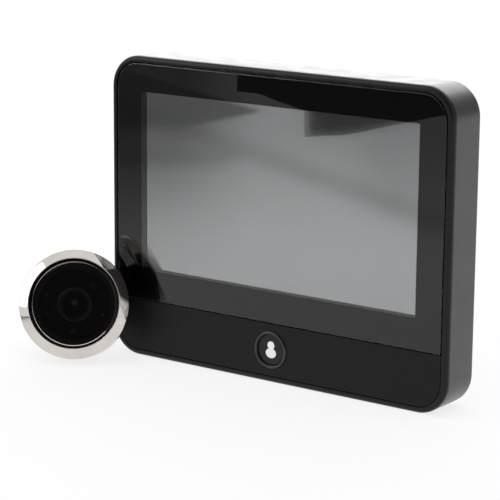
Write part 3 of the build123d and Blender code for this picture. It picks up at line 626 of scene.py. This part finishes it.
def button_bead(bm):
    """Ring with a rounded front, like a bead."""
    low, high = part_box("button_ring")
    middle = (low + high) / 2
    profile = [(BEAD_RADIUS - BEAD_WALL, high.y), (BEAD_RADIUS, high.y)]
    for step in range(BEAD_STEPS + 1):
        angle = pi * step / BEAD_STEPS
        radius = BEAD_RADIUS - BEAD_WALL / 2 * (1 - cos(angle))
        profile.append((radius, low.y + BEAD_HEIGHT * MM * (1 - sin(angle))))
    rings = []
    for step in range(TURN_STEPS):
        angle = 2 * pi * step / TURN_STEPS
        ring = []
        for radius, y in profile:
            across = radius * MM * cos(angle)
            up = radius * MM * sin(angle)
            ring.append(bm.verts.new((middle.x + across, y, middle.z + up)))
        rings.append(ring)
    join_rings(bm, rings)


piece_from("button_bead", button_bead, [bead_plastic], "monitor", ["button_ring"])

# Chrome ring, in millimetres on the head: an upright rim under a shallow bevel
RING_RADIUS = 16.4
RING_OPENING = 13.4
RING_HEIGHT = 3.5
RING_RIM = 1.6
RING_BACK = -0.5
RING_BORE = 13.875
RING_SHOULDER = 1.6
RING_BULGE = 0.03
RING_ROUND_BACK = 0.12
RING_ROUND_RIM = 0.25
RING_ROUND_OPENING = 0.22
BEVEL_STEPS = 10


def chrome_ring(bm):
    """Ring with a slightly convex bevel between two rounded edges."""
    start = Vector((RING_RADIUS, RING_RIM))
    end = Vector((RING_OPENING, RING_HEIGHT))
    outwards = Vector((RING_HEIGHT - RING_RIM, RING_RADIUS - RING_OPENING)).normalized()
    profile = [
        (RING_BORE, RING_BACK, 0),
        (RING_RADIUS, RING_BACK, RING_ROUND_BACK),
        (RING_RADIUS, RING_RIM, RING_ROUND_RIM),
    ]
    for step in range(1, BEVEL_STEPS):
        share = step / BEVEL_STEPS
        point = start.lerp(end, share) + outwards * RING_BULGE * 4 * share * (1 - share)
        profile.append((point.x, point.y, 0))
    profile += [
        (RING_OPENING, RING_HEIGHT, RING_ROUND_OPENING),
        (RING_OPENING, RING_SHOULDER, 0),
        (RING_BORE, RING_SHOULDER, 0),
    ]
    turned(bm, softened(profile), steps=FINE_TURN_STEPS)


piece_from("chrome_ring", chrome_ring, [chrome_plate], "camera_head", ["bezel_ring"], sharp=50)

# Smoked window of the bell push, with a flange behind and a rounded front edge
FLANGE_RADIUS = 13.6
FLANGE_FRONT = 1.35
WINDOW_RADIUS = 12.75
WINDOW_BACK = 0.6
WINDOW_FRONT = 2.3
WINDOW_EDGE_DROP = 0.3
WINDOW_EDGE_ROUND = 0.1
WINDOW_FACET = (0.23, 0.06)
WINDOW_FACET_INSET = 0.41
TRIM_RADII = (12.36, 12.5)


def window(bm):
    """Disc with a flange; the facets of its edge carry the bright trim line."""
    profile = [
        (0.0, WINDOW_BACK, 0),
        (FLANGE_RADIUS, WINDOW_BACK, 0),
        (FLANGE_RADIUS, FLANGE_FRONT, 0),
        (WINDOW_RADIUS, FLANGE_FRONT, 0),
        (WINDOW_RADIUS, WINDOW_FRONT - WINDOW_EDGE_DROP, WINDOW_EDGE_ROUND),
        (WINDOW_RADIUS - WINDOW_FACET[0], WINDOW_FRONT - WINDOW_FACET[1], 0),
        (WINDOW_RADIUS - WINDOW_FACET_INSET, WINDOW_FRONT, 0),
        (0.0, WINDOW_FRONT, 0),
    ]
    turned(bm, softened(profile), steps=FINE_TURN_STEPS)


def window_or_trim(place):
    return 1 if TRIM_RADII[0] < radius_on_head(place) < TRIM_RADII[1] else 0


piece_from("window", window, [smoked, chrome_plate], "bell_button", ["bell_disc"], window_or_trim, sharp=15)

# Head shell behind the ring: a chromed band, a spigot inside the ring and a floor round the barrel
HOUSING_BORE = 7.05
REBATE_RADIUS = 11.4
REBATE_BACK = -5.2
BAND_RADIUS = 12.9
BAND_BACK = -3.9
BAND_ROUND = 0.5
SPIGOT_RADIUS = 13.775
SPIGOT_FRONT = 0.0
CUP_RADIUS = 10.6
CUP_FLOOR = -4.0
SHELL_ROUND = 0.1
CHROME_FROM = 12.0


def head_shell(bm):
    """Housing with the band outside, the spigot in front and the cup inside."""
    profile = [
        (HOUSING_BORE, REBATE_BACK, 0),
        (REBATE_RADIUS, REBATE_BACK, SHELL_ROUND),
        (REBATE_RADIUS, BAND_BACK, 0),
        (BAND_RADIUS, BAND_BACK, BAND_ROUND),
        (BAND_RADIUS, RING_BACK, BAND_ROUND),
        (SPIGOT_RADIUS, RING_BACK, 0),
        (SPIGOT_RADIUS, SPIGOT_FRONT, SHELL_ROUND),
        (CUP_RADIUS, SPIGOT_FRONT, SHELL_ROUND),
        (CUP_RADIUS, CUP_FLOOR, 0),
        (HOUSING_BORE, CUP_FLOOR, 0),
    ]
    turned(bm, softened(profile))


def outside_or_inside(place):
    return 0 if radius_on_head(place) > CHROME_FROM else 1


SHELL_MATERIALS = [chrome_plate, gloss_black]
piece_from("head_shell", head_shell, SHELL_MATERIALS, "camera_head", ["head_housing"], outside_or_inside)

# Rubber washer with shallow grooves in its back
WASHER_RADIUS = 15.86
WASHER_STEP_RADIUS = 11.45
WASHER_ROUND = 0.3
GROOVE_COUNT = 4
GROOVE_FIRST = 10.2
GROOVE_PITCH = 1.4
GROOVE_WIDTH = 0.7
GROOVE_DEPTH = 0.25
GROOVE_ROUND = 0.08


def grooved_washer(bm):
    """Washer with its grooves, and with a step that sits in the housing's rebate."""
    profile = [(HOUSING_BORE, RUBBER_BACK, 0)]
    for groove in range(GROOVE_COUNT):
        near = GROOVE_FIRST + groove * GROOVE_PITCH
        far = near + GROOVE_WIDTH
        floor = RUBBER_BACK + GROOVE_DEPTH
        corners = [(near, RUBBER_BACK), (near, floor), (far, floor), (far, RUBBER_BACK)]
        profile += [(radius, station, GROOVE_ROUND) for radius, station in corners]
    profile += [
        (WASHER_RADIUS, RUBBER_BACK, WASHER_ROUND),
        (WASHER_RADIUS, BAND_BACK, WASHER_ROUND),
        (WASHER_STEP_RADIUS, BAND_BACK, 0),
        (WASHER_STEP_RADIUS, REBATE_BACK, 0),
        (HOUSING_BORE, REBATE_BACK, 0),
    ]
    turned(bm, softened(profile))


piece_from("grooved_washer", grooved_washer, [washer_rubber], "camera_head", ["rubber_washer"])

# Barrel with its thread
THREAD_PITCH = 1.0
THREAD_DEPTH = 0.42
THREAD_ROWS = 10
THREAD_SLOPE = 1.6
THREAD_FLAT = 0.3
BARREL_RADIUS = 7.0
BARREL_BACK = -30.3
BARREL_CHAMFER = 0.3
BARREL_END_CHAMFER = 0.6
THREAD_END = -6.4
LEAD_BORE = 4.2
COLLAR_RADIUS = 8.6
COLLAR_FRONT = -3.3
MODULE_BORE = 4.9
MODULE_SEAT = -11.4
MATT_FROM = -11.0


def thread_radius(station, turn_share):
    """Radius of the ridge at a station, fading out at both ends of the thread."""
    place = (station / THREAD_PITCH - turn_share) % 1.0
    ridge = min(1.0, max(0.0, THREAD_SLOPE * abs(2 * place - 1) - THREAD_FLAT))
    to_end = min(station - BARREL_BACK, THREAD_END - station)
    fade = min(1.0, to_end / THREAD_PITCH)
    return BARREL_RADIUS - THREAD_DEPTH * max(0.0, fade) * (1 - ridge)


def threaded_barrel(bm):
    """Barrel with a helical thread, its collar inside the head and its stepped bore."""
    rows = int((THREAD_END - BARREL_BACK) / THREAD_PITCH * THREAD_ROWS)
    thread_start = BARREL_BACK + BARREL_CHAMFER
    front = [
        (BARREL_RADIUS, CUP_FLOOR),
        (COLLAR_RADIUS, CUP_FLOOR),
        (COLLAR_RADIUS, COLLAR_FRONT),
        (MODULE_BORE, COLLAR_FRONT),
        (MODULE_BORE, MODULE_SEAT),
        (LEAD_BORE, MODULE_SEAT),
    ]
    rings = []
    for step in range(TURN_STEPS):
        angle = 2 * pi * step / TURN_STEPS
        profile = [
            (LEAD_BORE, thread_start),
            (LEAD_BORE + BARREL_CHAMFER, BARREL_BACK),
            (BARREL_RADIUS - BARREL_END_CHAMFER, BARREL_BACK),
        ]
        for row in range(rows + 1):
            station = thread_start + (THREAD_END - thread_start) * row / rows
            profile.append((thread_radius(station, step / TURN_STEPS), station))
        ring = []
        for radius, station in profile + front:
            ring.append(bm.verts.new(head_point(radius * cos(angle), radius * sin(angle), station)))
        rings.append(ring)
    join_rings(bm, rings)


def barrel_or_collar(place):
    return 1 if (place - HEAD_RIM).dot(HEAD_AXIS) > MATT_FROM * MM else 0


BARREL_MATERIALS = [black_anodised, matt_black]
piece_from(
    "threaded_barrel", threaded_barrel, BARREL_MATERIALS, "camera_head", ["mount_barrel"], barrel_or_collar
)

# Lens surround and infrared emitters behind the smoked window
SURROUND_STEPS = 4
SURROUND_FRONT = 4.75
SURROUND_BACK = 3.75
SURROUND_TOP = -0.1
SURROUND_DEPTH = 3.2
SURROUND_RADIUS = 5.1
SURROUND_STEM = 4.25
SURROUND_WALL = 0.4
SURROUND_ROUND = 0.1
SURROUND_STEP_ROUND = 0.06
SURROUND_FLANGE_RADIUS = 5.05
SURROUND_FLANGE = 0.25
SURROUND_FOOT = 0.2
LENS_RADIUS = 3.6
LED_RADIUS = 1.25
LED_FLANGE = 0.3
LED_STEM_SHARE = 0.85
LED_DOME_SHARE = 0.8
LED_DOME_STEPS = 8
LED_TURN_STEPS = 40
LED_RING = 8.9
LED_ANGLES = (-18, 18, 162, 198)
LED_BASE = -2.3
LED_TOP = -0.7


def lens_surround(bm):
    """Funnel round the lens, stepped inside so that stray light is caught."""
    low = SURROUND_TOP - SURROUND_DEPTH
    profile = [
        (LENS_RADIUS, low, 0),
        (SURROUND_FLANGE_RADIUS, low, 0),
        (SURROUND_FLANGE_RADIUS, low + SURROUND_FLANGE, 0),
        (SURROUND_STEM, low + SURROUND_FLANGE, 0),
        (SURROUND_RADIUS, SURROUND_TOP - SURROUND_WALL, 0),
        (SURROUND_RADIUS, SURROUND_TOP, SURROUND_ROUND),
    ]
    drop = (SURROUND_DEPTH - SURROUND_WALL) / SURROUND_STEPS
    inset = (SURROUND_FRONT - SURROUND_BACK) / SURROUND_STEPS
    for step in range(SURROUND_STEPS):
        radius = SURROUND_FRONT - step * inset
        top = SURROUND_TOP - step * drop
        profile += [(radius, top, SURROUND_STEP_ROUND), (radius, top - drop, 0)]
    profile.append((LENS_RADIUS, low + SURROUND_FOOT, 0))
    turned(bm, softened(profile, steps=3))


def led_domes(bm):
    """Four emitters with a flange, a stem and a domed top."""
    dome = LED_TOP - LED_RADIUS * LED_DOME_SHARE
    stem = LED_RADIUS * LED_STEM_SHARE
    flange = LED_BASE + LED_FLANGE
    profile = [(0.0, LED_BASE), (LED_RADIUS, LED_BASE), (LED_RADIUS, flange), (stem, flange)]
    for step in range(LED_DOME_STEPS + 1):
        angle = radians(90 * step / LED_DOME_STEPS)
        profile.append((stem * cos(angle), dome + (LED_TOP - dome) * sin(angle)))
    for angle in LED_ANGLES:
        x = LED_RING * cos(radians(angle))
        y = LED_RING * sin(radians(angle))
        turned(bm, profile, x, y, LED_TURN_STEPS)


piece_from("lens_surround", lens_surround, [surround_grey], "camera_head", ["lens_bezel"], sharp=30)
piece_from("led_domes", led_domes, [led_epoxy], "camera_head", ["infrared_leds"])


# Camera, floor and light
def aim(obj, place, target, roll=0.0):
    """Puts an object at a place and turns its view to a target."""
    turn = (target - place).to_track_quat("-Z", "Y").to_matrix().to_4x4()
    obj.matrix_world = Matrix.Translation(place) @ turn @ Matrix.Rotation(roll, 4, "Z")


def set_camera():
    data = bpy.data.cameras.new("camera")
    data.sensor_width = SENSOR_WIDTH_MM
    data.lens = CAMERA_LENS_MM
    obj = new_object("camera", data)
    azimuth = radians(CAMERA_AZIMUTH)
    elevation = radians(CAMERA_ELEVATION)
    forward = Vector((-sin(azimuth) * cos(elevation), cos(azimuth) * cos(elevation), -sin(elevation)))
    aim(obj, CAMERA_PLACE, CAMERA_PLACE + forward, radians(CAMERA_ROLL))
    bpy.context.scene.camera = obj


def combined(tree, operation, first, second=0.0):
    """Maths node on two nodes, or on a node and a number."""
    node = add(tree, "ShaderNodeMath", operation=operation)
    for index, value in enumerate((first, second)):
        if isinstance(value, float):
            node.inputs[index].default_value = value
        else:
            link(tree, value, 0, node, index)
    return node


def remainder(tree, first, second):
    """What the product of two shares leaves of 1."""
    return combined(tree, "SUBTRACT", 1.0, combined(tree, "MULTIPLY", first, second))


def mirrored_share(tree, path, share):
    """Share of a reflected background for rays that come off metal or gloss, or through glass."""
    either = add(tree, "ShaderNodeMath", operation="MAXIMUM")
    link(tree, path, "Is Glossy Ray", either, 0)
    link(tree, path, "Is Transmission Ray", either, 1)
    return combined(tree, "MULTIPLY", either, share)


def mixed(tree, share, output, first, second):
    """Mixes two shaders by the share of the second."""
    node = add(tree, "ShaderNodeMixShader")
    link(tree, share, output, node, 0)
    link(tree, first, 0, node, 1)
    link(tree, second, 0, node, 2)
    return node


def projected(tree, source, output, vector):
    """Product of a place or a direction with a fixed vector."""
    node = add(tree, "ShaderNodeVectorMath", {1: vector}, operation="DOT_PRODUCT")
    link(tree, source, output, node, 0)
    return node


def along(tree, heading):
    """Distance along a heading on the floor, in millimetres."""
    place = add(tree, "ShaderNodeNewGeometry")
    product = projected(tree, place, "Position", Vector((*heading, 0)) / MM)
    # A sum with nothing brings the product to a first output, where combined() takes it
    distance = add(tree, "ShaderNodeMath", {1: 0.0}, operation="ADD")
    link(tree, product, "Value", distance, 0)
    return distance


# The display mirrors the floor ahead of it. For reflections the floor glows with painted light that falls
# off with distance, and more on one side;
# a soft band of painted shade crosses it. Reaches are in millimetres ahead of the object, sides in
# millimetres across.
AHEAD = (-0.5851, -0.8110)
ACROSS = (0.8110, -0.5851)
MIDDLE_REACH = (170.0, 480.0)
MIDDLE_LIGHT = (1.05, 0.66)
LEFT_SIDE = (-45.0, 5.0)
LEFT_REACH = (60.0, 480.0)
LEFT_LOSS = 0.66
RIGHT_SIDE = (28.0, 62.0)
RIGHT_REACH = (170.0, 280.0)
RIGHT_LOSS = 0.2
SHADE_ACROSS = 0.9
SHADE_ALONG = 0.435
SHADE_PLACE = (378.0, 3.0)
SHADE_EDGE = (2.0, 22.0)
SHADE_LIGHT = 0.78

# Far on its left the floor's painted glow has an even, darker zone of painted shade with slanted edges, and
# nearer a soft dip of painted shade
ZONE_LEVEL = 0.118
ZONE_NEAR = (435.0, 485.0)
ZONE_SLOPES = (-0.7, 0.5)
ZONE_EDGES = ((-366.0, -352.0), (257.0, 267.0))
DIP_AHEAD = 375.0
DIP_HALF = (5.0, 42.0)
DIP_SIDE = (-18.0, -4.0)
DIP_SHARE = 0.22


def painted_shade_zone(tree, ahead, across):
    """Share of the darker zone of painted shade at a place on the floor."""
    share = map_range(tree, ahead, 0, *ZONE_NEAR)
    for slope, (inside, outside) in zip(ZONE_SLOPES, ZONE_EDGES):
        slant = combined(tree, "ADD", across, combined(tree, "MULTIPLY", ahead, slope))
        edge = map_range(tree, slant, 0, inside, outside, 1.0, 0.0)
        share = combined(tree, "MULTIPLY", share, edge)
    return share


def light_after_painted_dip(tree, ahead, across):
    """Painted light that the soft dip of painted shade leaves."""
    distance = combined(tree, "ABSOLUTE", combined(tree, "SUBTRACT", ahead, DIP_AHEAD))
    depth = map_range(tree, distance, 0, *DIP_HALF, DIP_SHARE, 0.0)
    side = map_range(tree, across, 0, *DIP_SIDE, 1.0, 0.0)
    return remainder(tree, depth, side)


def painted_floor_light(tree):
    """Strength of the floor's painted light and shade for reflections, from the place on the floor."""
    ahead = along(tree, AHEAD)
    across = along(tree, ACROSS)
    middle = map_range(tree, ahead, 0, *MIDDLE_REACH, *MIDDLE_LIGHT)
    left_side = map_range(tree, across, 0, *LEFT_SIDE, 1.0, 0.0)
    left_depth = map_range(tree, ahead, 0, *LEFT_REACH, 0.0, LEFT_LOSS)
    left = remainder(tree, left_side, left_depth)
    right_side = map_range(tree, across, 0, *RIGHT_SIDE)
    right_depth = map_range(tree, ahead, 0, *RIGHT_REACH, 0.0, RIGHT_LOSS)
    right = remainder(tree, right_side, right_depth)
    from_ahead = combined(tree, "SUBTRACT", ahead, SHADE_PLACE[0])
    from_across = combined(tree, "SUBTRACT", across, SHADE_PLACE[1])
    slope_ahead = combined(tree, "MULTIPLY", from_ahead, SHADE_ALONG)
    slope_across = combined(tree, "MULTIPLY", from_across, SHADE_ACROSS)
    distance = combined(tree, "ABSOLUTE", combined(tree, "ADD", slope_ahead, slope_across))
    band = map_range(tree, distance, 0, *SHADE_EDGE, SHADE_LIGHT, 1.0)
    light = combined(tree, "MULTIPLY", combined(tree, "MULTIPLY", middle, left), right)
    light = combined(tree, "MULTIPLY", light, light_after_painted_dip(tree, ahead, across))
    zone = painted_shade_zone(tree, ahead, across)
    kept = combined(tree, "MULTIPLY", light, combined(tree, "SUBTRACT", 1.0, zone))
    light = combined(tree, "ADD", kept, combined(tree, "MULTIPLY", zone, ZONE_LEVEL))
    return combined(tree, "MULTIPLY", light, band)


# The floor: its size in metres, its grey, and how much of it glows for the camera and for reflections
FLOOR_HALF = 4.0
FLOOR_BLOCKS = 24
FLOOR_GREY = 0.8
FLOOR_ROUGHNESS = 0.9
FLOOR_FOR_CAMERA = 0.8
FLOOR_FOR_GLOSS = 0.9


def white_floor():
    mesh = bpy.data.meshes.new("floor")
    bm = bmesh.new()
    bmesh.ops.create_grid(bm, x_segments=FLOOR_BLOCKS, y_segments=FLOOR_BLOCKS, size=FLOOR_HALF)
    bm.to_mesh(mesh)
    bm.free()
    floor = new_object("floor", mesh)
    values = {"Base Color": grey(FLOOR_GREY), "Roughness": FLOOR_ROUGHNESS, "Specular IOR Level": 0.0}
    material, tree, shader = new_material("floor", values)
    mesh.materials.append(material)
    path = add(tree, "ShaderNodeLightPath")
    plain = add(tree, "ShaderNodeEmission", {"Strength": 1.0})
    # For reflections the floor glows with painted light and shade that change with the place on the floor
    painted_glow = add(tree, "ShaderNodeEmission")
    link(tree, painted_floor_light(tree), 0, painted_glow, "Strength")
    camera_share = add(tree, "ShaderNodeMath", {1: FLOOR_FOR_CAMERA}, operation="MULTIPLY")
    link(tree, path, "Is Camera Ray", camera_share, 0)
    for_camera = mixed(tree, camera_share, 0, shader, plain)
    for_gloss = mixed(tree, mirrored_share(tree, path, FLOOR_FOR_GLOSS), 0, for_camera, painted_glow)
    link(tree, for_gloss, 0, tree.nodes["Material Output"], "Surface")


# Outline of the dark flag that the display mirrors, a sheet of painted shade that only reflections see, as
# (across, ahead) in millimetres; its height in metres
FLAG_HEIGHT = 0.002
SHADE_CARD_GREY = 0.06
FLAG_OUTLINE = [
    (-10, 1500),
    (-10, 578),
    (3, 570),
    (12, 543),
    (22, 521),
    (26, 507),
    (24, 424),
    (46, 432),
    (70, 463),
    (93, 490),
    (130, 530),
    (500, 700),
    (500, 1500),
]


def painted_shade_card():
    """Dark card of painted shade on the floor, far ahead, that only reflections show; it neither lights nor
    shades anything.
    """
    mesh = bpy.data.meshes.new("painted_shade_card")
    bm = bmesh.new()
    corners = []
    for across, ahead in FLAG_OUTLINE:
        x = (across * ACROSS[0] + ahead * AHEAD[0]) * MM
        y = (across * ACROSS[1] + ahead * AHEAD[1]) * MM
        corners.append(bm.verts.new((x, y, FLAG_HEIGHT)))
    bm.faces.new(corners)
    bm.to_mesh(mesh)
    bm.free()
    flag = new_object("painted_shade_card", mesh)
    # Its grey is a painted reflection of shade
    values = {"Base Color": grey(SHADE_CARD_GREY), "Specular IOR Level": 0.0}
    mesh.materials.append(new_material("painted_shade_card", values)[0])
    flag.visible_camera = False
    flag.visible_diffuse = False
    flag.visible_shadow = False


# The room as gloss and glass show it. It is dark behind the camera and dim on one side: the middle of
# each zone, the cosines of the angles where it starts and ends, and its level or share.
DARK_AZIMUTH = 35.0
DARK_ELEVATION = 30.0
DARK_FROM = 0.71
DARK_TO = 0.78
DARK_LEVEL = 0.046
DIM_AZIMUTH = 146.0
DIM_ELEVATION = 14.0
DIM_FROM = 0.88
DIM_TO = 0.97
DIM_SHARE = 0.15
ROOM_LEVEL = 1.0
DIFFUSE_LEVEL = 0.9


def direction(azimuth, elevation):
    """Unit vector from the object towards a view's azimuth and elevation in degrees."""
    turn = radians(azimuth)
    rise = radians(elevation)
    return Vector((sin(turn) * cos(rise), -cos(turn) * cos(rise), sin(rise)))


def set_world():
    world = bpy.data.worlds.new("studio")
    bpy.context.scene.world = world
    world.use_nodes = True
    tree = world.node_tree
    diffuse = tree.nodes["Background"]
    set_inputs(diffuse, {"Color": grey(1.0), "Strength": DIFFUSE_LEVEL})
    seen = add(tree, "ShaderNodeBackground", {"Color": grey(1.0), "Strength": 1.0})
    room = add(tree, "ShaderNodeBackground", {"Color": grey(1.0)})
    place = add(tree, "ShaderNodeTexCoord")
    nearness = projected(tree, place, "Generated", direction(DARK_AZIMUTH, DARK_ELEVATION))
    level = map_range(tree, nearness, "Value", DARK_FROM, DARK_TO, ROOM_LEVEL, DARK_LEVEL)
    side = projected(tree, place, "Generated", direction(DIM_AZIMUTH, DIM_ELEVATION))
    dim = map_range(tree, side, "Value", DIM_FROM, DIM_TO, 1.0, DIM_SHARE)
    link(tree, combined(tree, "MULTIPLY", level, dim), 0, room, "Strength")
    path = add(tree, "ShaderNodeLightPath")
    for_gloss = mixed(tree, mirrored_share(tree, path, 1.0), 0, diffuse, room)
    for_camera = mixed(tree, path, "Is Camera Ray", for_gloss, seen)
    link(tree, for_camera, 0, tree.nodes["World Output"], "Surface")


# Softboxes: azimuth and elevation in degrees, distance, width and height in metres, and level
TOP_SOFTBOX = (20, 78, 0.95, 0.8, 0.8, 1.0)
BACK_SOFTBOX = (214, 22, 1.25, 1.7, 1.1, 2.22)
LEFT_SOFTBOX = (-46, 28, 0.95, 0.3, 0.75, 1.8)
AIM_HEIGHT = 0.04


def softbox(name, azimuth, elevation, distance, width, height, level):
    """Soft light of an even brightness, in a direction from the object, facing it."""
    data = bpy.data.lights.new(name, "AREA")
    data.shape = "RECTANGLE"
    data.size = width
    data.size_y = height
    data.energy = level * pi * width * height
    light = new_object(name, data)
    middle = Vector((0, 0, AIM_HEIGHT))
    aim(light, middle + direction(azimuth, elevation) * distance, middle)
    return light


set_camera()
white_floor()
painted_shade_card()
set_world()
top_softbox = softbox("top_softbox", *TOP_SOFTBOX)
top_softbox.visible_glossy = False
softbox("back_softbox", *BACK_SOFTBOX)
softbox("left_softbox", *LEFT_SOFTBOX)
bpy.context.scene.view_settings.view_transform = "Standard"
